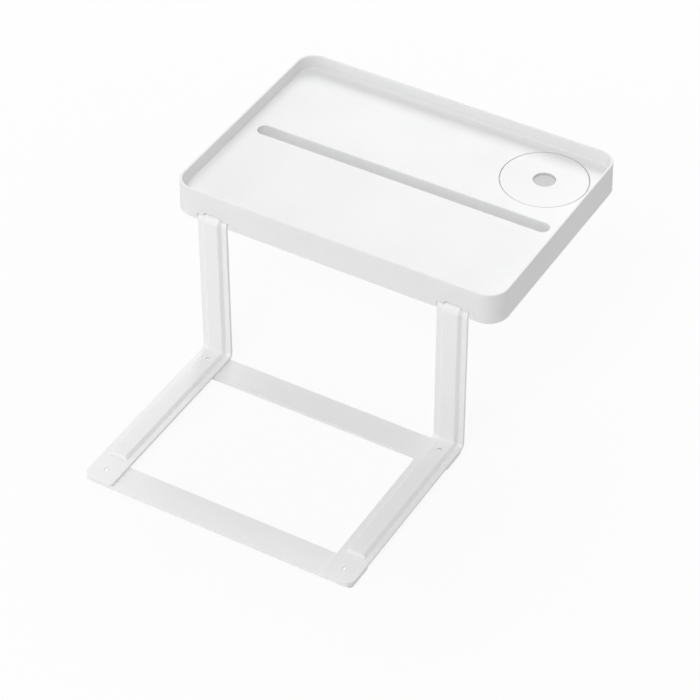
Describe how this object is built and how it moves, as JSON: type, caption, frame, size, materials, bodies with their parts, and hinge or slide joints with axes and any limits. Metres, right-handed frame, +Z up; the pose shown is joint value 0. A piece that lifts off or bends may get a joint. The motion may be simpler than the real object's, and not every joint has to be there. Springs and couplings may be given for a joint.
{
  "type": "bedside shelf",
  "caption": "Bedside shelf with a rimmed tray, a tablet slot and a lift-out cup lid, on bent strip brackets whose flat base slides under a mattress.",
  "frame": {"origin": "middle of the whole shelf's footprint, at the level of the pads' undersides", "axes": "+X along the tray's long side, +Y from the bed towards the tray, +Z up"},
  "size_m": [0.3518, 0.4644, 0.198],
  "materials": {
    "tray_plastic": "fine satin grain",
    "cup_plastic": "satin",
    "frame_paint": "semi-matt powder coat",
    "screw_steel": "zinc plated",
    "insert_brass": "turned",
    "pad_rubber": "matt"
  },
  "bodies": {
    "shelf": {"tray": "tray_plastic", "left_bracket": "frame_paint", "right_bracket": "frame_paint", "front_crossbar": "frame_paint", "rear_crossbar": "frame_paint", "front_left_pad": "pad_rubber", "front_left_frame_screw": "screw_steel", "rear_left_pad": "pad_rubber", "rear_left_frame_screw": "screw_steel", "near_left_tray_screw": "screw_steel", "near_left_insert": "insert_brass", "far_left_tray_screw": "screw_steel", "far_left_insert": "insert_brass", "front_right_pad": "pad_rubber", "front_right_frame_screw": "screw_steel", "rear_right_pad": "pad_rubber", "rear_right_frame_screw": "screw_steel", "near_right_tray_screw": "screw_steel", "near_right_insert": "insert_brass", "far_right_tray_screw": "screw_steel", "far_right_insert": "insert_brass"},
    "lid": {"cup_lid": "tray_plastic", "finger_cup": "cup_plastic"}
  },
  "joints": [
    {"name": "lid_lift", "type": "slide", "parent": "shelf", "child": "lid", "axis": [0, 0, 1], "range_m": [0, 0.06]}
  ]
}
